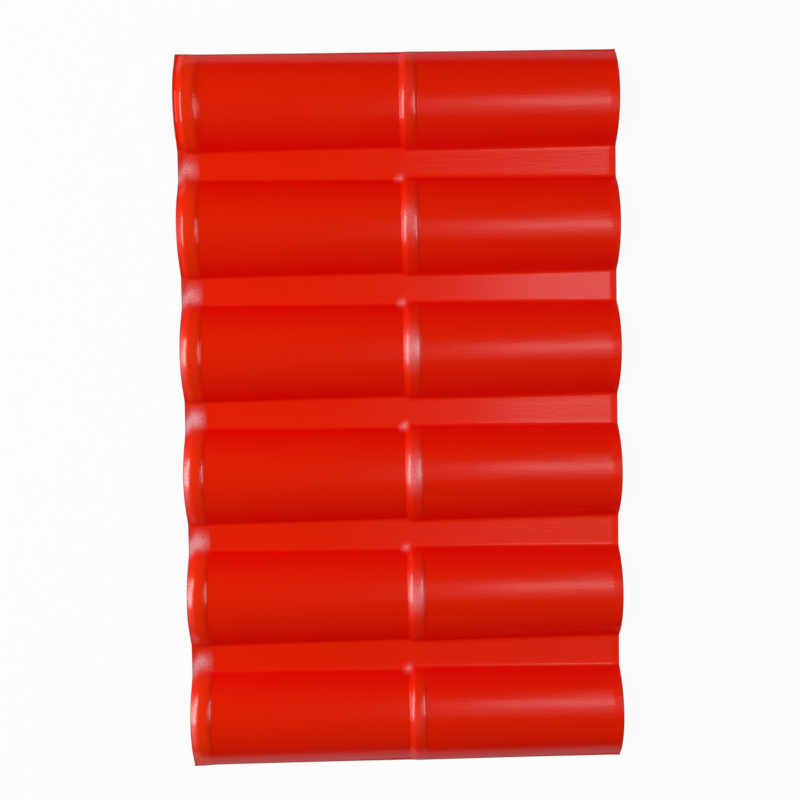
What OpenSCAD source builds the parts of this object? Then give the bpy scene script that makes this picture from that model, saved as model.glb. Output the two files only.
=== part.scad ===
// Roofing sheet moulded in one piece as courses of barrel tiles: rolls with flat pans between them.
// X runs along the rolls from the eave end to the ridge end, Y runs across them, and Z is up.
// The origin is in the middle of the sheet, level with the underside of the pans. Millimetres.

/* [Sheet] */
// Number of rolls side by side
roll_count = 6; // [1:1:8]
// Distance from the middle of one roll to the middle of the next
roll_pitch = 152.4; // [140:0.2:200]
// Number of tile courses along the sheet
course_count = 2; // [1:1:3]
// Length of one tile course, from collar to collar
course_length = 265.4; // [120:0.2:400]
// Thickness of the moulded skin
skin = 2.5; // [1.5:0.1:4]
// How far each side edge is cut back from the foot of its roll, where the roll is widest
edge_trim = 1; // [0:0.5:10]

/* [Rolls] */
// Width of a roll at the wide end of its course, from foot to foot
roll_width = 120; // [90:1:126]
// Height of a roll above its pans at the wide end of its course
roll_height = 30; // [20:0.5:45]
// How much narrower a roll is at the narrow end of its course
width_taper = 6; // [0:0.5:12]
// How much lower a roll is at the narrow end of its course
height_taper = 1.5; // [0:0.5:8]
// Radius of the fillet between a roll and a pan
foot_radius = 6; // [2:0.5:10]

/* [Collars] */
// Distance from the eave end of the sheet to the first collar
collar_offset = 5.2; // [2:0.2:40]
// Length of a collar along its roll
collar_length = 22; // [8:0.5:40]
// Length of the step at the front of a collar, up from the course below
step_run = 9; // [2:0.5:20]
// Rise of the swelling of a collar above the rolls before and behind it
bead_rise = 2; // [0:0.1:4]

/* [Pan ends] */
// Length of the turned-up end of each pan at the eave end
eave_upturn_run = 26; // [5:1:60]
// Rise of the turned-up end of each pan at the eave end
eave_upturn_rise = 4.3; // [0.5:0.1:8]
// Length of the turned-up end of each pan at the ridge end
ridge_upturn_run = 8; // [2:1:60]
// Rise of the turned-up end of each pan at the ridge end
ridge_upturn_rise = 1.2; // [0.5:0.1:8]

/* [Hidden] */
sheet_length = collar_offset + course_count * course_length;
// Distance from the middle of an outer roll to the side edge beside it
side_reach = roll_width / 2 - edge_trim;
// Least width of the strip along a side edge
side_strip = 0.5;
// Share of a roll's height over which the turned-up pan end fades into the roll's flank
upturn_reach = 0.4;
// Facets of a roll's arch, of a fillet, of a collar's step and of the rest of a collar
arch_steps = 12;
foot_steps = 2;
step_steps = 4;
bead_steps = 5;

function sorted(v) =
    len(v) < 2 ? v
    : concat(sorted([for (x = v) if (x < v[0]) x]), [v[0]], sorted([for (x = v) if (x > v[0]) x]));

// Rises from 0 to 1 with level ends
function smooth(t) = t * t * (3 - 2 * t);

// Distance behind the front of the nearest collar towards the eave
function behind_collar(x) =
    x < collar_offset ? x - collar_offset + course_length : (x - collar_offset) % course_length;

// 1 at the wide end of a course and 0 at its narrow end, where the next collar steps up
function fullness(u) =
    u < step_run ? smooth(u / step_run) : (course_length - u) / (course_length - step_run);

// Swell of a collar: a flat-topped cushion that falls away to its front and its back
function bead(u) =
    let (t = abs(2 * u / collar_length - 1))
    t < 1 ? bead_rise * (1 - t * t * t) : 0;

function half_width(x) = (roll_width - width_taper * (1 - fullness(behind_collar(x)))) / 2;

function height(x) =
    let (u = behind_collar(x))
    roll_height - height_taper * (1 - fullness(u)) + bead(u);

// Lift of the pans' surface at the turned-up ends
function upturn(x) =
    eave_upturn_rise * max(0, 1 - x / eave_upturn_run)
    + ridge_upturn_rise * max(0, 1 - (sheet_length - x) / ridge_upturn_run);

// The arch of a roll is part of a circle: its radius, and how far its centre is above the pans
function arch_radius(w, h) = (w * w + h * h) / (2 * h);
function arch_centre(w, h) = h - arch_radius(w, h);

// Angle from the crest at which the arch runs into its fillets
function fillet_angle(w, h) =
    acos((foot_radius - arch_centre(w, h)) / (arch_radius(w, h) + foot_radius));

// A point of the arch at angle a from the crest, and a point of the fillet on one side where
// its slope is a. Both are given as [across, up] for a surface that lies deep below the top.
function arch_point(w, h, a, deep) =
    let (r = arch_radius(w, h) - deep)
    [r * sin(a), arch_centre(w, h) + r * cos(a)];
function fillet_point(w, h, a, side, deep) =
    let (middle = (arch_radius(w, h) + foot_radius) * sin(fillet_angle(w, h)), r = foot_radius + deep)
    [side * (middle - r * sin(a)), foot_radius - r * cos(a)];

// A point at distance y from a roll's middle, on the arch, on the fillet or beyond it on the pan
function side_point(w, h, y, side, deep) =
    let (
        r = arch_radius(w, h),
        join = fillet_angle(w, h),
        arched = y < r * sin(join),
        slope = arched ? asin(y / r) : asin(max(0, (r + foot_radius) * sin(join) - y) / foot_radius),
        up = arched ? arch_centre(w, h) + r * cos(slope) : foot_radius * (1 - cos(slope))
    )
    [side * (y - deep * sin(slope)), up - deep * cos(slope)];

// One roll's section from its -Y side to its +Y side. The sheet's two side edges are straight, so
// they cut the first and the last roll at one distance from the middle of that roll.
function roll_section(w, h, deep, first, last) =
    let (
        join = fillet_angle(w, h),
        turn = min(join, asin(min(1, (side_reach - side_strip) / arch_radius(w, h)))),
        inner = arch_radius(w, h) * sin(turn),
        low = first ? turn : join,
        high = last ? turn : join,
        steps = [for (i = [0:foot_steps - 1]) i / foot_steps],
        back = [for (i = [foot_steps - 1:-1:0]) i / foot_steps]
    )
    concat(
        [for (t = steps)
            first ? side_point(w, h, side_reach + (inner - side_reach) * t, -1, deep)
            : fillet_point(w, h, join * t, -1, deep)],
        [for (i = [0:arch_steps]) arch_point(w, h, -low + (low + high) * i / arch_steps, deep)],
        [for (t = back)
            last ? side_point(w, h, side_reach + (inner - side_reach) * t, 1, deep)
            : fillet_point(w, h, join * t, 1, deep)]
    );

// The whole wave at distance x from the eave end, for the top face or the underside
function wave(x, deep) = [
    for (k = [0:roll_count - 1])
        let (
            w = half_width(x),
            h = height(x),
            top = roll_section(w, h, 0, k == 0, k == roll_count - 1),
            face = roll_section(w, h, deep, k == 0, k == roll_count - 1),
            middle = (k - (roll_count - 1) / 2) * roll_pitch
        )
        for (i = [0:len(face) - 1])
            let (fade = max(0, 1 - top[i].y / (upturn_reach * h)))
            [x - sheet_length / 2, middle + face[i].x, skin + face[i].y + upturn(x) * fade]
];

// Closed outline of the sheet at distance x: along the top face and back along the underside
function outline(x) =
    let (top = wave(x, 0), under = wave(x, skin))
    concat(top, [for (i = [len(under) - 1:-1:0]) under[i]]);

// Where the sheet is sectioned: its ends, the creases of the pans, and along each collar
stations = sorted(concat(
    [0, eave_upturn_run, sheet_length - ridge_upturn_run, sheet_length],
    [for (c = [0:course_count - 1], i = [0:step_steps])
        collar_offset + c * course_length + step_run * i / step_steps],
    [for (c = [0:course_count - 1], i = [1:bead_steps])
        collar_offset + c * course_length + step_run + (collar_length - step_run) * i / bead_steps]
));

// Skins closed outlines of equal point counts into one solid. Each outline runs towards +Y along
// the top face and back along the underside, and the outlines follow each other towards +X. A
// ladder of triangles between the two faces closes each flat end.
module loft(outlines) {
    n = len(outlines[0]);
    ends = len(outlines) - 1;
    sides = [
        for (s = [0:ends - 1], i = [0:n - 1])
            let (j = (i + 1) % n, a = s * n + i, b = s * n + j, c = a + n, d = b + n)
            each [[a, b, c], [b, d, c]]
    ];
    ladder = [
        for (i = [0:n / 2 - 2])
            each [[i, i + 1, n - 1 - i], [i + 1, n - 2 - i, n - 1 - i]]
    ];
    first_end = [for (t = ladder) [t[2], t[1], t[0]]];
    last_end = [for (t = ladder) [for (i = t) ends * n + i]];
    polyhedron(points = [for (outline = outlines) each outline], faces = concat(first_end, sides, last_end));
}

module roof_sheet() {
    color([0.85, 0.14, 0.03])
        loft([for (x = stations) outline(x)]);
}

roof_sheet();
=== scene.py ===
"""Roofing sheet of barrel-tile rolls: the moulded surface, its plastic, the studio and the camera."""
import math

import bpy
import numpy as np
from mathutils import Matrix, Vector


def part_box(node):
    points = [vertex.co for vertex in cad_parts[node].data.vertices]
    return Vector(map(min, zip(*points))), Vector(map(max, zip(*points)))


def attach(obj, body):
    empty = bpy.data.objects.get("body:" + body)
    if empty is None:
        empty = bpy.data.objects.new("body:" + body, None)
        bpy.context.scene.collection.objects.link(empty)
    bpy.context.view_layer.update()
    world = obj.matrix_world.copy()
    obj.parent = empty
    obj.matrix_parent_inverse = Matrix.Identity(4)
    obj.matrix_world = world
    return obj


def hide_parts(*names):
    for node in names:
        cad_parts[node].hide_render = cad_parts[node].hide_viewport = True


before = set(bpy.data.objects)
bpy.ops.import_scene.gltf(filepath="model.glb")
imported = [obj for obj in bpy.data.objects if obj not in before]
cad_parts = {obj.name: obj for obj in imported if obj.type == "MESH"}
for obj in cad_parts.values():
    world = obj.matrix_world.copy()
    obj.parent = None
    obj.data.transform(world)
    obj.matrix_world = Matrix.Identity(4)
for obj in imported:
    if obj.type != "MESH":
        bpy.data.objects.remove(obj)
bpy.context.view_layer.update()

bl_info = {
    "name": "Barrel-Tile Roofing Sheet",
    "version": (1, 0, 0),
    "blender": (4, 5, 0),
    "location": "View3D > Sidebar > Roofing",
    "description": "Makes a moulded plastic roofing sheet with rolls and collars, and its plain studio",
    "category": "Add Mesh",
}

SHEET_LOW, SHEET_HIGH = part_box("roof_sheet")

# Sizes that other defaults follow from. The number of rolls is even, so a pan lies along the
# middle of the sheet and the rolls' middles are half-way between whole pitches.
ROLLS = 6
PITCH = 0.1524
EDGE_TRIM = 0.001
COLLAR_OFFSET = 0.0052
SHEET_LENGTH = SHEET_HIGH.x - SHEET_LOW.x
SHEET_WIDTH = SHEET_HIGH.y - SHEET_LOW.y


# ---------------------------------------------------------------------------------------------
# What a user would change


def length(name, description, default):
    return bpy.props.FloatProperty(
        name=name, description=description, default=default, min=0.0, precision=4, unit="LENGTH"
    )


def share(name, description, default):
    return bpy.props.FloatProperty(
        name=name, description=description, default=default, min=0.0, max=1.0, subtype="FACTOR"
    )


def colour(name, description, default):
    return bpy.props.FloatVectorProperty(
        name=name, description=description, default=default, min=0.0, max=1.0, size=3, subtype="COLOR"
    )


class RoofingSheetSizes(bpy.types.PropertyGroup):
    """Sizes of the moulded sheet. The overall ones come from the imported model."""

    length: length("Length", "Length of the sheet along its rolls", SHEET_LENGTH)
    skin: length("Skin", "Thickness of the moulded skin", 0.0025)
    pitch: length("Roll pitch", "Distance between the middles of two rolls", PITCH)
    edge_trim: length("Edge trim", "How far a side edge is cut back from its roll's foot", EDGE_TRIM)
    roll_width: length(
        "Roll width",
        "Width of a roll from foot to foot at the wide end of a course",
        SHEET_WIDTH - (ROLLS - 1) * PITCH + 2 * EDGE_TRIM,
    )
    roll_height: length("Roll height", "Height of a roll at the wide end of a course", 0.030)
    width_taper: length("Width taper", "How much narrower a roll gets along a course", 0.006)
    height_taper: length("Height taper", "How much lower a roll gets along a course", 0.0015)
    foot_radius: length("Foot radius", "Radius of the fillet between a roll and a pan", 0.006)
    course: length("Course length", "Distance from collar to collar", (SHEET_LENGTH - COLLAR_OFFSET) / 2)
    collar_offset: length("Collar offset", "Distance from the eave to the first collar", COLLAR_OFFSET)
    eave_front: length("Eave front", "Distance from the eave end to the front of its collar", 0.0015)
    eave_stretch: share("Eave stretch", "Share by which the eave collar's front is longer at most", 0.5)
    collar_length: length("Collar length", "Length of a collar along its roll", 0.022)
    step_run: length("Step run", "Length of the step at the front of a collar", 0.009)
    bead_rise: length("Bead rise", "Rise of the swelling of a collar", 0.002)
    eave_run: length("Eave upturn run", "Length of a pan's turned-up end at the eave", 0.026)
    eave_rise: length("Eave upturn rise", "Rise of a pan's turned-up end at the eave", 0.0043)
    ridge_run: length("Ridge upturn run", "Length of a pan's turned-up end at the ridge", 0.008)
    ridge_rise: length("Ridge upturn rise", "Rise of the sheet's turned-up end at the ridge", 0.0012)
    flare_run: length("Flare run", "Length of a roll's turned-up end at the ridge", 0.0115)
    lip_radius: length("Lip radius", "Rounding of the cut edges", 0.0005)
    burr: length("Burr", "Width of the rough rim along the cut edges", 0.0009)
    nub: length("Nub height", "Height of the nub at the +Y foot of each collar's front", 0.0008)
    ripple: length("Ripple", "Height of the slow unevenness that moulding leaves", 0.00025)


class RoofingSheetFinish(bpy.types.PropertyGroup):
    """Colours and gloss of the plastic, and the colour of the floor."""

    plastic: colour("Plastic", "Colour of the moulded plastic", (0.82, 0.0155, 0.0005))
    # Painted shade: this darker, redder colour is laid on the steep flanks of the rolls, where shade
    # falls.
    plastic_painted_shade: colour("Deep plastic", "Colour of the steep flanks of the rolls", (0.82, 0.0025, 0.0003))
    # Painted sheen: this paler, more orange colour is laid over the collars' swelling, where light plays
    # on it.
    plastic_painted_sheen: colour("Thin plastic", "Colour of the collars, drawn thin", (0.90, 0.036, 0.004))
    cut_edge: colour("Cut edge", "Colour of the sawn edges", (0.30, 0.022, 0.010))
    # Pale colour of the pans' worn ends, partly a painted sheen, and of the painted highlights on the
    # collars and nubs.
    rubbed_and_sheen: colour("Rubbed plastic", "Colour of the rubbed ends of the pans", (0.93, 0.36, 0.38))
    fleck: colour("Fleck", "Colour of a speck of dust in the surface", (0.85, 0.55, 0.48))
    roughness: share("Roughness", "Roughness of the plastic's gloss", 0.19)
    specular: share("Specular", "Strength of the plastic's gloss", 0.32)
    lines: share("Drawing lines", "Strength of the fine lines along the rolls", 0.5)
    floor: colour("Floor", "Colour of the studio floor", (0.65, 0.65, 0.65))


# ---------------------------------------------------------------------------------------------
# The moulded surface

# How the eave's end was cut: its offset from square, its slant and its bow, the skew at which the
# cut is closest to a collar, and the number of collar lengths that the skew reaches along a roll
EAVE_OFFSET, EAVE_SLANT, EAVE_BOW = -0.0026, 0.0056, 0.0172
CLOSEST_CUT = 0.0025
SKEW_REACH = 4

# How softly the upturns start at the eave and at the ridge, and the share of a roll's height at
# which the upturn of the pans has died out
EAVE_EASE, RIDGE_EASE = 0.004, 0.002
UPTURN_REACH = 0.4

# Spread of a nub, the ripple's waves as radians per metre along X and along Y and a phase, and
# the mean at which the ripple is as high as its size says
NUB_SPREAD = 0.0028
RIPPLE_WAVES = ((11, 5, 0.3), (-7, 13, 1.9), (17, -9, 4.1), (5, 23, 2.7), (-19, -4, 5.2))
RIPPLE_PEAK = 0.5

# Worn ends of the pans, whose pale colour is partly a painted sheen. Across a pan, in halves of it: the
# middle of the rubbing, how far it bends aside at the very end, and its width. Along, in shares of the
# upturn's run: where it runs straight from, where it ends and over what stretch it fades.
RUB_MIDDLE, RUB_BEND, RUB_WIDTH = -0.25, 0.6, 0.55
RUB_STRAIGHT, RUB_END, RUB_FADE = 0.35, 1.05, 0.55

# Painted highlight on the crests of the inner collars: the most and the least of it, the distance from the
# sheet's middle over which it weakens by 1, how far it lies from the crest, and its width
GLINT_MOST, GLINT_LEAST, GLINT_REACH = 0.95, 0.1, 0.4
GLINT_ASIDE, GLINT_WIDTH = 0.004, 0.018

# Painted glint on the front of the eave's collars: the most of it, its width, where it ends and over what
# length it fades. Then the painted glint on a nub, and how far in the rough rim ends, in widths of the
# burr.
FRONT_MOST, FRONT_WIDTH = 0.7, 0.026
FRONT_END, FRONT_FADE = 0.009, 0.005
NUB_GLINT = 0.8
BURR_EDGE = 1.6

# Steps across an arch, a foot, a side edge and a pan
ARCH_STEPS = 36
FOOT_STEPS = 6
EDGE_STEPS = 8
PAN_STEPS = 7

# Stations over a collar, along the whole sheet, on both sides of a crease, over a rounded end as
# shares of the lip radius and of the burr, and the gap below which a station is left out
COLLAR_STATIONS = 22
EVEN_STATIONS = 44
CREASE_STATIONS = np.array([-0.0012, -0.0004, 0.0004, 0.0012])
LIP_STATIONS = np.array([0.0, 0.08, 0.3, 0.6, 1.0])
BURR_STATIONS = np.array([0.9, 1.5])
STATION_GAP = 0.00003


def behind_collar(x, y, s):
    """Distance behind the front of the last collar towards the eave, for a roll at y: x less the
    first collar's place, wrapped at the length of a course. Near the eave x is first put right
    for the sheet's end, which is not cut square to the collars. Up to the middle of the eave's
    collar x less the eave front is divided by a stretch, which is over 1 where the end is cut
    closest, so that collar's front is longer there."""
    near = x - eave_skew(y) * np.clip(1 - x / (SKEW_REACH * s.collar_length), 0.0, 1.0)
    stretch = 1 + s.eave_stretch * cut_close(y)
    middle = s.collar_length / 2
    eave = np.clip((near - s.eave_front) / stretch, 0.0, middle)
    return np.where(near < s.collar_offset + middle, eave, np.mod(near - s.collar_offset, s.course))


def eave_skew(y):
    """How far the eave's collars lie from where a square cut would have them: an offset, a share
    of y and a share of its square."""
    return EAVE_OFFSET + EAVE_SLANT * y + EAVE_BOW * y**2


def cut_close(y):
    """1 where the eave's end is cut closest to its collars, and 0 where it leaves them whole."""
    return np.clip(-eave_skew(y) / CLOSEST_CUT, 0.0, 1.0)


def fullness(u, s):
    """1 at the wide end of a course and 0 at its narrow end: a smooth step over the collar's
    front, then a straight fall along the rest of the course."""
    t = np.clip(u / s.step_run, 0.0, 1.0)
    return np.where(u < s.step_run, t * t * (3 - 2 * t), (s.course - u) / (s.course - s.step_run))


def swelling(x, y, s):
    """Share of the bead's rise: one less the cube of the distance from the collar's middle, as a
    share of half the collar's length."""
    return 1 - np.clip(np.abs(2 * behind_collar(x, y, s) / s.collar_length - 1), 0.0, 1.0) ** 3


def roll_size(x, y, s):
    """Half the width and the height of the roll at y, at distance x from the eave end. Both
    follow fullness, and the height adds the collar's swelling."""
    lack = 1 - fullness(behind_collar(x, y, s), s)
    height = s.roll_height - s.height_taper * lack + s.bead_rise * swelling(x, y, s)
    return (s.roll_width - s.width_taper * lack) / 2, height


def upturn(distance, rise, run, ease):
    """Lift at a distance from an end: a straight slope from the crease out to the end, with the
    crease eased by a hyperbola."""
    past = run - distance
    return rise / run * (past + np.sqrt(past**2 + ease**2)) / 2


def rounding(distance, radius):
    """How far a quarter-round edge falls away at a distance from it: the radius less the height
    of the circle there."""
    inside = radius - np.clip(distance, 0.0, radius)
    return radius - np.sqrt(radius**2 - inside**2)


def eased(depth, fall, s):
    """Depth of a face where a rounded edge falls away: at least the fall on the top face, and at
    most the skin less the fall on the underside."""
    return np.where(depth < s.skin / 2, np.maximum(depth, fall), np.minimum(depth, s.skin - fall))


def roll_section(w, h, s, depth, first, last):
    """One roll's section, from its -Y foot to its +Y foot, as arrays of across and up.

    The arch is the part of a circle of radius (w^2 + h^2) / 2h that stands above the pans. A
    fillet circle touches it and the pan on each side. Depth moves a point along the surface's
    normal into the wall, so the wall is equally thick all over. The sheet's side edges are
    straight, so they cut the outer rolls' fillets at one distance from the middle of the roll,
    and they are rounded by the lip radius.
    """
    radius = (w**2 + h**2) / (2 * h)
    centre = h - radius
    join = np.arccos((s.foot_radius - centre) / (radius + s.foot_radius))
    middle = (radius + s.foot_radius) * np.sin(join)
    reach = s.roll_width / 2 - s.edge_trim
    turn = np.minimum(join, np.arcsin(np.minimum(1.0, (reach - s.lip_radius) / radius)))
    low, high = turn if first else join, turn if last else join
    arch = -low + (low + high) * np.linspace(0, 1, ARCH_STEPS + 1)
    across, up = [], []

    def add(angle, reached, level, deep, side):
        across.append(side * (reached - deep * np.sin(angle)))
        up.append(level - deep * np.cos(angle))

    def add_fillet(steps, side):
        slope = join * steps
        reached, level = middle - s.foot_radius * np.sin(slope), s.foot_radius * (1 - np.cos(slope))
        add(slope, reached, level, depth, side)

    def add_edge(steps, side):
        inner = radius * np.sin(turn)
        reached = inner + (reach - inner) * steps
        arched = reached < radius * np.sin(join)
        on_fillet = np.clip((middle - reached) / s.foot_radius, 0.0, 1.0)
        slope = np.arcsin(np.where(arched, np.minimum(reached / radius, 1.0), on_fillet))
        on_arch, on_foot = centre + radius * np.cos(slope), s.foot_radius * (1 - np.cos(slope))
        fall = rounding((reach - reached) / np.cos(slope), s.lip_radius)
        add(slope, reached, np.where(arched, on_arch, on_foot), eased(depth, fall, s), side)

    foot = np.linspace(0, 1, FOOT_STEPS + 1)[:-1]
    edge = np.sin(np.linspace(np.pi / 2, 0, EDGE_STEPS + 1))[:-1]
    if first:
        add_edge(edge, -1)
    else:
        add_fillet(foot, -1)
    across.append((radius - depth) * np.sin(arch))
    up.append(centre + (radius - depth) * np.cos(arch))
    if last:
        add_edge(edge[::-1], 1)
    else:
        add_fillet(foot[::-1], 1)
    return np.concatenate(across, axis=1), np.concatenate(up, axis=1)


def wave(x, s, depth):
    """Across and up of the whole wave at each distance x: the rolls' sections side by side, with
    straight pans between the foot of one roll and the foot of the next."""
    across, up = [], []
    for k in range(ROLLS):
        middle = (k - (ROLLS - 1) / 2) * s.pitch
        w, h = roll_size(x, middle, s)
        y, z = roll_section(w, h, s, depth, k == 0, k == ROLLS - 1)
        y = y + middle
        if k:
            steps = np.linspace(0, 1, PAN_STEPS + 1)[1:-1]
            across.append(across[-1][:, -1:] * (1 - steps) + y[:, :1] * steps)
            up.append(up[-1][:, -1:] * (1 - steps) + z[:, :1] * steps)
        across.append(y)
        up.append(z)
    return np.concatenate(across, axis=1), np.concatenate(up, axis=1)


def ripple(x, y, s):
    """Slow unevenness: the square of the mean of five slanting sine waves, as a share of its
    usual peak, so it only ever lifts."""
    mean = sum(np.sin(kx * x + ky * y + phase) for kx, ky, phase in RIPPLE_WAVES) / len(RIPPLE_WAVES)
    return s.ripple * (mean / RIPPLE_PEAK) ** 2


def between_outer_rolls(y, s):
    """Whether y lies between the middle of the first roll and the middle of the last."""
    return np.abs(y) < (ROLLS / 2 - 0.5) * s.pitch


def bell(distance, width):
    """Bell curve: e to the power of less the square of distance over width."""
    return np.exp(-((distance / width) ** 2))


def nubs(x, y, s):
    """Share of a nub's height: a bell curve in plan on each roll's +Y foot, just before the front
    of each inner collar."""
    front = s.collar_offset + s.course * np.round((x - s.collar_offset) / s.course)
    roll = np.floor((y - s.roll_width / 2) / s.pitch) + 0.5
    aside = y - roll * s.pitch - s.roll_width / 2 + NUB_SPREAD / 3
    inner = (front > s.course / 2) & (front < s.length - s.course / 2) & between_outer_rolls(y, s)
    return np.exp(-((x - front) ** 2 + aside**2) / (2 * NUB_SPREAD**2)) * inner


def stations(s):
    """Distances from the eave end at which the sheet is sectioned: evenly spaced, and closer at
    the rounded ends, over each collar and on both sides of each crease."""
    lip = np.concatenate([s.lip_radius * LIP_STATIONS, s.burr * BURR_STATIONS])
    fronts = s.collar_offset + s.course * np.arange(round(s.length / s.course))
    collars = [front + np.linspace(0, s.collar_length, COLLAR_STATIONS) for front in (*fronts, 0)]
    upturns = (s.eave_run, s.length - s.ridge_run, s.length - s.flare_run)
    creases = [place + CREASE_STATIONS for place in (*upturns, *(fronts + s.collar_length), *fronts)]
    even = np.linspace(0, s.length, EVEN_STATIONS)
    x = np.unique(np.round(np.concatenate([lip, s.length - lip, *collars, *creases, even]), 6))
    x = x[(x >= 0) & (x <= s.length)]
    keep = np.concatenate([[True], np.diff(x) > STATION_GAP])
    return x[keep]


def sheet_face(x, s, depth):
    """Points of one face of the sheet on the grid of stations and section points: the top face
    at no depth, or the underside at the skin's. To the wave are added the pans' upturn at the
    eave, the upturn at the ridge, which starts earlier on the rolls, the ripple and the nubs."""
    along = x[:, None]
    fall = rounding(np.minimum(along, s.length - along), s.lip_radius)
    across, up = wave(along, s, eased(depth, fall, s))
    top_up = wave(along, s, np.zeros_like(along))[1]
    pan = np.clip(1 - top_up / (UPTURN_REACH * s.roll_height), 0.0, 1.0)
    z = s.skin + up + upturn(along, s.eave_rise, s.eave_run, EAVE_EASE) * pan + ripple(along, across, s)
    flare = s.ridge_run * pan + s.flare_run * (1 - pan)
    z = z + upturn(s.length - along, s.ridge_rise, flare, RIDGE_EASE)
    z = z + (depth < s.skin / 2) * s.nub * nubs(along, across, s)
    return np.stack([np.broadcast_to(along - s.length / 2, z.shape), across, z], axis=-1)


def grid_quads(index):
    """Quads of a grid whose points have these numbers, facing up when the grid's first side runs
    along +X and its second along +Y."""
    corners = [index[:-1, :-1], index[1:, :-1], index[1:, 1:], index[:-1, 1:]]
    return np.stack(corners, axis=-1).reshape(-1, 4)


def closed_sheet(s):
    """The sheet as points, quads, each point's place along and across the developed wave, and its marks by
    name. The top face and the underside share one grid, and a strip round the rim joins them. Signs of
    wear and the painted sheen and highlights are on the top face only."""
    x = stations(s)
    top, under = sheet_face(x, s, 0.0), sheet_face(x, s, s.skin)
    rows, columns = top.shape[:2]
    below = rows * columns
    index = np.arange(below).reshape(rows, columns)
    quads = grid_quads(index)
    rim = np.concatenate([index[:-1, 0], index[-1, :-1], index[:0:-1, -1], index[0, :0:-1]])
    ahead = np.roll(rim, -1)
    wall = np.stack([rim + below, ahead + below, ahead, rim], axis=-1)
    points = np.concatenate([top.reshape(-1, 3), under.reshape(-1, 3)])
    # The steep share also marks where shade is painted on the flanks.
    both_faces = {"cut": cut_rim(x, top, s), "steep": steepness(top)}
    marks = {name: np.tile(value.reshape(-1), 2) for name, value in both_faces.items()}
    for name, value in {"rubbed_and_sheen": rubbed_ends_and_sheen(top, s), **collar_marks(top, s)}.items():
        marks[name] = np.concatenate([value.reshape(-1), np.zeros(below)])
    lay = np.tile(developed_places(top), (2, 1))
    return points, np.concatenate([quads, quads[:, ::-1] + below, wall]), lay, marks


def developed_places(top):
    """Places along and across the sheet as if it were rolled out flat: across is the length of
    the section at the sheet's middle station, counted from its middle."""
    steps = np.linalg.norm(np.diff(top[len(top) // 2, :, 1:], axis=0), axis=1)
    developed = np.concatenate([[0.0], np.cumsum(steps)])
    developed = developed - developed[-1] / 2
    return np.stack(np.broadcast_arrays(top[:, :, 0], developed[None, :]), axis=-1).reshape(-1, 2)


def cut_rim(x, top, s):
    """1 on the cut edges, falling to 0 over the width of the burr."""
    from_end = np.minimum(x, s.length - x)[:, None]
    from_side = top[:, -1:, 1] - np.abs(top[:, :, 1])
    return np.clip(BURR_EDGE - np.minimum(from_end, from_side) / s.burr, 0.0, 1.0)


def steepness(top):
    """Square of the sine of the wave's slope across the sheet."""
    level, rise = np.gradient(top[:, :, 1:], axis=1).transpose(2, 0, 1)
    return (rise / np.hypot(level, rise)) ** 2


def rubbed_ends_and_sheen(top, s):
    """How worn the turned-up ends of the pans are at the eave, which also sets their painted sheen: a bell
    curve across the pan, whose middle bends from the pan's -Y foot to near its middle, fading towards the
    crease."""
    x, y = top[:, :, 0] + s.length / 2, top[:, :, 1]
    half_pan = (s.pitch - s.roll_width) / 2
    aside = (np.mod(y / s.pitch + 0.5, 1.0) - 0.5) * s.pitch / half_pan
    inwards = x / s.eave_run
    middle = RUB_MIDDLE - RUB_BEND * np.clip(1 - inwards / RUB_STRAIGHT, 0.0, 1.0)
    fading = np.clip((RUB_END - inwards) / RUB_FADE, 0.0, 1.0)
    return bell(aside - middle, RUB_WIDTH) * fading * between_outer_rolls(y, s)


def collar_marks(top, s):
    """The painted sheen on each collar, which is its swelling on the rolls and half as much on the inner
    collars, and its painted highlights. Those are a bell curve across each inner collar's crest, weaker by
    the square of the distance from the sheet's middle, a glint on its nub, and a bell curve across the
    front of the eave's collars where the cut is closest."""
    x, y = top[:, :, 0] + s.length / 2, top[:, :, 1]
    inner = x > s.course / 2
    swell = swelling(x, y, s) * np.clip(top[:, :, 2] / s.roll_height * 2, 0.0, 1.0)
    from_crest = (np.mod(y / s.pitch, 1.0) - 0.5) * s.pitch
    # Painted highlight across each inner collar's crest, strongest in the middle of the sheet.
    glint_share = np.clip(GLINT_MOST - (y / GLINT_REACH) ** 2, GLINT_LEAST, 1.0)
    crest = swell * inner * glint_share * bell(from_crest - GLINT_ASIDE, GLINT_WIDTH)
    # Painted glint across the front of the eave's collars, where the cut is closest.
    front = np.clip((FRONT_END - x) / FRONT_FADE, 0.0, 1.0) * cut_close(y)
    front = FRONT_MOST * front * bell(from_crest, FRONT_WIDTH)
    return {"collar_sheen": swell * (1 - 0.5 * inner), "painted_glint": crest + front + NUB_GLINT * nubs(x, y, s)}


def mesh_from(name, points, quads):
    """A new object at the origin, smooth all over, from arrays of points and quads."""
    mesh = bpy.data.meshes.new(name)
    mesh.vertices.add(len(points))
    mesh.vertices.foreach_set("co", points.astype(np.float32).ravel())
    mesh.loops.add(quads.size)
    mesh.loops.foreach_set("vertex_index", quads.astype(np.int32).ravel())
    mesh.polygons.add(len(quads))
    mesh.polygons.foreach_set("loop_start", np.arange(0, quads.size, 4, dtype=np.int32))
    mesh.update(calc_edges=True)
    mesh.validate()
    mesh.shade_smooth()
    piece = bpy.data.objects.new(name, mesh)
    bpy.context.scene.collection.objects.link(piece)
    return piece


# ---------------------------------------------------------------------------------------------
# Materials


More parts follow.
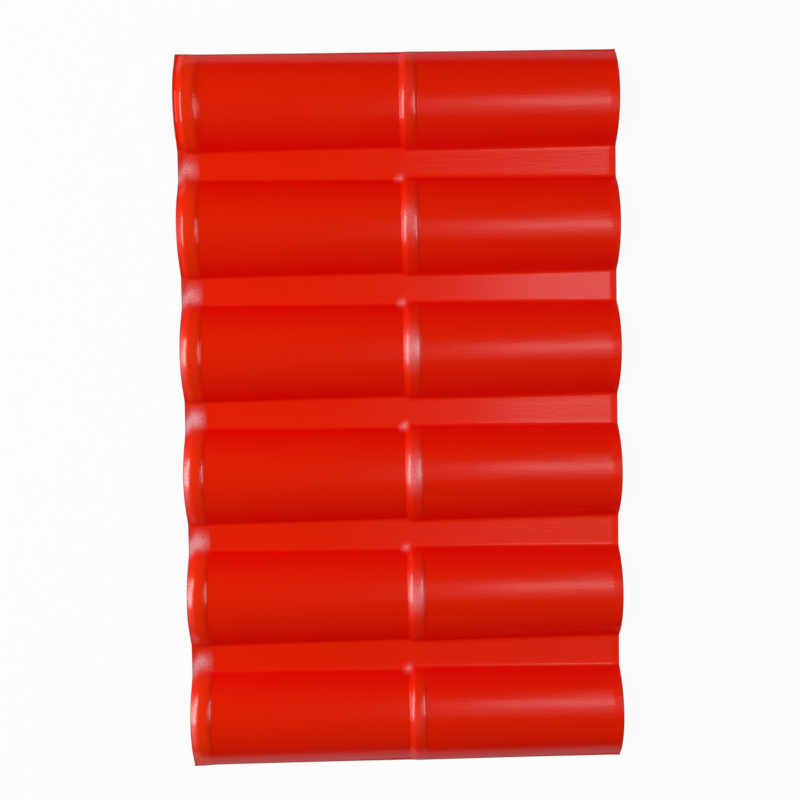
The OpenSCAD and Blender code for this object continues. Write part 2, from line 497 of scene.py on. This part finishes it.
class Value:
    """A shader socket that adds Math nodes when it is used in an expression."""

    def __init__(self, shader, socket):
        self.shader, self.socket = shader, socket

    def maths(self, operation, *operands):
        return self.shader.add("ShaderNodeMath", {"operation": operation}, dict(enumerate(operands)))

    def __add__(self, other):
        return self.maths("ADD", self, other)

    def __radd__(self, other):
        return self.maths("ADD", other, self)

    def __sub__(self, other):
        return self.maths("SUBTRACT", self, other)

    def __rsub__(self, other):
        return self.maths("SUBTRACT", other, self)

    def __mul__(self, other):
        return self.maths("MULTIPLY", self, other)

    def __rmul__(self, other):
        return self.maths("MULTIPLY", other, self)

    def between(self, low, high):
        """0 below low, 1 above high and a smooth rise between them."""
        limits = {"Value": self, "From Min": low, "From Max": high}
        return self.shader.add("ShaderNodeMapRange", {"interpolation_type": "SMOOTHSTEP"}, limits)


class Shader:
    """A material or world being built. Its add method puts in a node, with the node's settings
    first and then the values or links of its sockets."""

    def __init__(self, block):
        self.block = block
        block.use_nodes = True
        self.tree = block.node_tree
        self.tree.nodes.clear()

    def add(self, kind, settings=None, sockets=None, output=0):
        node = self.tree.nodes.new(kind)
        for key, value in (settings or {}).items():
            setattr(node, key, value)
        for key, value in (sockets or {}).items():
            if isinstance(value, Value):
                self.tree.links.new(value.socket, node.inputs[key])
            else:
                node.inputs[key].default_value = value
        return Value(self, node.outputs[output]) if node.outputs else None

    def mix(self, factor, first, second):
        """Colour that goes from first to second as factor goes from 0 to 1. The node keeps its
        colours at sockets 6 and 7, and the mixed one at output 2."""
        sockets = {0: factor, 6: opaque(first), 7: opaque(second)}
        return self.add("ShaderNodeMix", {"data_type": "RGBA"}, sockets, output=2)

    def stretched(self, vector, scale):
        """Vector with each of its parts multiplied by a part of scale."""
        return self.add("ShaderNodeVectorMath", {"operation": "MULTIPLY"}, {0: vector, 1: scale})

    def turned(self, vector, angle):
        """Vector turned about the vertical axis."""
        sockets = {"Vector": vector, "Angle": angle}
        return self.add("ShaderNodeVectorRotate", {"rotation_type": "Z_AXIS"}, sockets)

    def noise(self, vector, scale, detail=2.0, roughness=0.5):
        """Soft random pattern round 0.5, with this many waves per unit of the vector's length."""
        sockets = {"Vector": vector, "Scale": scale, "Detail": detail, "Roughness": roughness}
        return self.add("ShaderNodeTexNoise", {}, sockets)

    def mark(self, name):
        """The mark of this name that the mesh carries at its points."""
        return self.add("ShaderNodeAttribute", {"attribute_name": name}, output="Fac")

    def mixed_with_white(self, lit, white, seen_share, mirrored_share):
        """Surface that is lit, with a share of plain white for camera rays and another share for
        glossy and transmission rays."""
        rays = self.add("ShaderNodeLightPath").socket.node.outputs
        kinds = ("Is Camera Ray", "Is Glossy Ray", "Is Transmission Ray")
        seen, glossy, through = (Value(self, rays[kind]) for kind in kinds)
        white_share = seen * seen_share + (glossy + through) * mirrored_share
        return self.add("ShaderNodeMixShader", {}, {0: white_share, 1: lit, 2: white})


def opaque(value):
    return value if isinstance(value, Value) else (*value, 1.0)


# Waves per metre of the patterns in the plastic, as one number or as along, across and up, and
# the angle that the scuffs' pattern is turned by. A speck's middle and edge are shares of a cell.
FINE_LINES = (5.0, 900.0, 1.0)
BROAD_LINES = (60.0, 270.0, 1.0)
SCUFFS = (260.0, 1100.0, 1.0)
SCUFF_ANGLE = 0.7
GRAIN = 700.0
MOTTLE = 14.0
SPECK_CELLS = 9.0
SPECK_MIDDLE, SPECK_EDGE = 0.006, 0.011
BUMP_HEIGHT = 0.0005


def moulded_plastic(f):
    """Glossy coloured plastic with drawing lines along the rolls, a faint orange peel and slow mottling of
    the colour. Shade is painted on the steep flanks as a darker, redder colour, and sheen is painted on
    the collars as a paler one, with a few specks of dust. The pans' worn ends are pale, partly as a
    painted sheen, painted highlights lie on the collars and nubs, and it is dark on the cut edges."""
    shader = Shader(bpy.data.materials.new("moulded_plastic"))
    lay = shader.add("ShaderNodeUVMap", {"uv_map": "lay"})
    place = shader.add("ShaderNodeTexCoord", output="Object")
    marks = ("cut", "steep", "rubbed_and_sheen", "collar_sheen", "painted_glint")
    cut, steep, rubbed_and_sheen, collar_sheen, painted_glint = (shader.mark(name) for name in marks)

    fine_lines = shader.noise(shader.stretched(lay, FINE_LINES), 1.0, 3.0, 0.6)
    broad_lines = shader.noise(shader.stretched(lay, BROAD_LINES), 1.0)
    grain = shader.noise(place, GRAIN)
    mottle = shader.noise(place, MOTTLE, 3.0, 0.55)
    slanting = shader.turned(place, SCUFF_ANGLE)
    scuffs = shader.noise(shader.stretched(slanting, SCUFFS), 1.0, 2.0, 0.6)

    lines = fine_lines * 0.6 + broad_lines * 0.4
    # Painted shade: the steep share turns the steep flanks towards the darker, redder shaded colour. The
    # lines and mottle add random tone.
    depth = (lines - 0.5) * (0.6 * f.lines) + (mottle - 0.5) * 0.3 + steep * 1.45
    body = shader.mix(depth.between(-0.1, 1.0), f.plastic, f.plastic_painted_shade)
    specks = shader.add("ShaderNodeTexVoronoi", {}, {"Vector": place, "Scale": SPECK_CELLS})
    body = shader.mix((1 - specks.between(SPECK_MIDDLE, SPECK_EDGE)) * 0.8, body, f.fleck)
    # Painted sheen: the collars' swelling is made paler.
    body = shader.mix(collar_sheen * (mottle * 0.6 + fine_lines * 0.6), body, f.plastic_painted_sheen)
    # Pale worn ends of the pans, partly a painted sheen, and painted highlights on the collars and nubs.
    wear_and_glint = (rubbed_and_sheen * 1.9 + painted_glint) * (scuffs * 0.6 + mottle * 0.4).between(0.3, 0.7)
    body = shader.mix(wear_and_glint * 0.95, body, f.rubbed_and_sheen)
    body = shader.mix(cut * 0.9, body, f.cut_edge)

    rough = f.roughness + (fine_lines - 0.5) * (0.22 * f.lines) + (grain - 0.5) * 0.10
    rough = rough + cut * 0.3 + rubbed_and_sheen * 0.15
    relief = fine_lines * 0.15 + broad_lines * 0.75 + grain * 0.08 + rubbed_and_sheen * scuffs * 0.4
    bump = shader.add("ShaderNodeBump", {}, {"Strength": 0.5, "Distance": BUMP_HEIGHT, "Height": relief})
    gloss = {"Roughness": rough, "IOR": 1.5, "Specular IOR Level": f.specular, "Normal": bump}
    surface = shader.add("ShaderNodeBsdfPrincipled", {}, {"Base Color": body, **gloss})
    shader.add("ShaderNodeOutputMaterial", {}, {"Surface": surface})
    return shader.block


# The stage's plain white, the floor's other tone, the shares of plain white that camera rays and
# mirrored rays meet on the floor and in the air, and the strength of the air's own light
WHITE = (1.0, 1.0, 1.0)
FLOOR_PATCH = (0.6, 0.6, 0.6)
FLOOR_SEEN, FLOOR_MIRRORED = 0.94, 0.08
AIR_SEEN, AIR_MIRRORED = 0.98, 0.01
AIR_LIGHT = 0.015


def studio_floor(f):
    """Matt pale floor. Its lit colour is mixed with plain white, so it stays white and still
    shows a soft shadow."""
    shader = Shader(bpy.data.materials.new("studio_floor"))
    place = shader.add("ShaderNodeTexCoord", output="Object")
    tone = shader.mix(shader.noise(place, 2.0) * 0.2, f.floor, FLOOR_PATCH)
    matt = shader.add("ShaderNodeBsdfDiffuse", {}, {"Color": tone})
    white = shader.add("ShaderNodeEmission", {}, {"Color": opaque(WHITE), "Strength": 1.0})
    surface = shader.mixed_with_white(matt, white, FLOOR_SEEN, FLOOR_MIRRORED)
    shader.add("ShaderNodeOutputMaterial", {}, {"Surface": surface})
    return shader.block


def studio_air():
    """Dim light from all round, mixed with plain white as the floor's is."""
    shader = Shader(bpy.data.worlds.new("studio_air"))
    dim = shader.add("ShaderNodeBackground", {}, {"Color": opaque(WHITE), "Strength": AIR_LIGHT})
    white = shader.add("ShaderNodeBackground", {}, {"Color": opaque(WHITE), "Strength": 1.0})
    surface = shader.mixed_with_white(dim, white, AIR_SEEN, AIR_MIRRORED)
    shader.add("ShaderNodeOutputWorld", {}, {"Surface": surface})
    return shader.block


# ---------------------------------------------------------------------------------------------
# The stage

# Floor: how far it is flat, the radius of its rim, the share of the grid before the rim, how far
# the rim turns up, the points along a side of the grid, and a distance that stands for none
DISH_FLAT, DISH_BEND = 14.0, 0.5
DISH_RIM = 0.85
DISH_TURN = np.pi / 4
DISH_POINTS = 41
NEXT_TO_NONE = 1e-6

# Lamps: name, place, level side, slanting side and radiance
LAMPS = (
    ("strip_right", (1.5, 0.3, 3.0), 2.2, 0.2, 21.0),
    ("softbox", (0.85, 0.2, 3.2), 0.75, 0.65, 2.7),
    ("halo", (0.9, 0.1, 3.3), 1.8, 1.1, 0.6),
    ("ceiling", (1.1, -0.35, 3.4), 2.0, 2.0, 0.3),
    ("strip_left", (-2.7, 0.3, 2.7), 3.2, 0.65, 17.0),
    ("key", (-3.9, 0.9, 0.45), 1.3, 0.8, 16.0),
)

CAMERA_PLACE = (-0.0246, 0.09165, 1.36432)
CAMERA_TURN = (-0.05574, -0.01739, -0.01807)
CAMERA_LENS, CAMERA_SENSOR = 49.5, 36.0


def studio_dish():
    """Floor that curves up a little all round: a square grid drawn into a disc, where the larger
    of a point's two places on the grid is its distance from the middle. The floor is flat up to
    the rim, which is an eighth of a circle."""
    side = np.linspace(-1, 1, DISH_POINTS)
    u, v = np.meshgrid(side, side, indexing="ij")
    outwards = np.maximum(np.abs(u), np.abs(v))
    turn = np.clip((outwards - DISH_RIM) / (1 - DISH_RIM), 0.0, 1.0) * DISH_TURN
    reach = DISH_FLAT * np.minimum(outwards / DISH_RIM, 1.0) + DISH_BEND * np.sin(turn)
    stretch = reach / np.maximum(np.hypot(u, v), NEXT_TO_NONE)
    points = np.stack([u * stretch, v * stretch, DISH_BEND * (1 - np.cos(turn))], axis=-1)
    return points.reshape(-1, 3), grid_quads(np.arange(u.size).reshape(u.shape))


def area_light(name, place, across, depth, strength):
    """A lamp that faces the sheet's middle, with a power that gives the radiance asked. Across is
    its level side and depth the side that slants towards the floor."""
    lamp = bpy.data.lights.new(name, "AREA")
    lamp.shape, lamp.size, lamp.size_y = "RECTANGLE", across, depth
    lamp.energy = strength * math.pi * across * depth
    holder = bpy.data.objects.new(name, lamp)
    x, y, z = place
    holder.location = place
    holder.rotation_euler = (math.atan2(math.hypot(x, y), z), 0.0, math.atan2(-y, -x) - math.pi / 2)
    bpy.context.scene.collection.objects.link(holder)


def camera_above():
    """The camera that looks down on the sheet."""
    camera = bpy.data.cameras.new("camera")
    camera.lens, camera.sensor_width = CAMERA_LENS, CAMERA_SENSOR
    eye = bpy.data.objects.new("camera", camera)
    eye.location, eye.rotation_euler = CAMERA_PLACE, CAMERA_TURN
    bpy.context.scene.collection.objects.link(eye)
    return eye


# ---------------------------------------------------------------------------------------------
# Operators


class ROOFING_OT_sheet(bpy.types.Operator):
    """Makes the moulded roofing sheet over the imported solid"""

    bl_idname = "roofing.sheet"
    bl_label = "Roofing Sheet"

    def execute(self, context):
        points, quads, lay, marks = closed_sheet(context.scene.roofing_sizes)
        piece = mesh_from("moulded_sheet", points, quads)
        corners = np.empty(len(piece.data.loops), dtype=np.int32)
        piece.data.loops.foreach_get("vertex_index", corners)
        layer = piece.data.uv_layers.new(name="lay")
        layer.uv.foreach_set("vector", lay[corners].astype(np.float32).ravel())
        for name, value in marks.items():
            attribute = piece.data.attributes.new(name, "FLOAT", "POINT")
            attribute.data.foreach_set("value", value.astype(np.float32))
        piece.data.materials.append(moulded_plastic(context.scene.roofing_finish))
        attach(piece, "root")
        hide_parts("roof_sheet")
        return {"FINISHED"}


class ROOFING_OT_studio(bpy.types.Operator):
    """Makes the pale floor, the soft lamps and the camera above the sheet"""

    bl_idname = "roofing.studio"
    bl_label = "Roofing Studio"

    def execute(self, context):
        points, quads = studio_dish()
        floor = mesh_from("studio_floor", points, quads)
        floor.data.materials.append(studio_floor(context.scene.roofing_finish))
        for lamp in LAMPS:
            area_light(*lamp)
        context.scene.world = studio_air()
        context.scene.camera = camera_above()
        context.scene.view_settings.view_transform = "Standard"
        return {"FINISHED"}


class ROOFING_PT_sidebar(bpy.types.Panel):
    """Lists the sheet's sizes, its finish and what can be made"""

    bl_idname = "ROOFING_PT_sidebar"
    bl_label = "Roofing Sheet"
    bl_space_type = "VIEW_3D"
    bl_region_type = "UI"
    bl_category = "Roofing"

    def draw(self, context):
        for group in (context.scene.roofing_sizes, context.scene.roofing_finish):
            column = self.layout.column(align=True)
            for name in group.__annotations__:
                column.prop(group, name)
        self.layout.operator(ROOFING_OT_sheet.bl_idname)
        self.layout.operator(ROOFING_OT_studio.bl_idname)


CLASSES = (
    RoofingSheetSizes,
    RoofingSheetFinish,
    ROOFING_OT_sheet,
    ROOFING_OT_studio,
    ROOFING_PT_sidebar,
)


def register():
    for cls in CLASSES:
        bpy.utils.register_class(cls)
    bpy.types.Scene.roofing_sizes = bpy.props.PointerProperty(type=RoofingSheetSizes)
    bpy.types.Scene.roofing_finish = bpy.props.PointerProperty(type=RoofingSheetFinish)


def unregister():
    del bpy.types.Scene.roofing_sizes
    del bpy.types.Scene.roofing_finish
    for cls in reversed(CLASSES):
        bpy.utils.unregister_class(cls)


def main():
    register()
    bpy.ops.roofing.sheet()
    bpy.ops.roofing.studio()


if __name__ == "__main__":
    main()
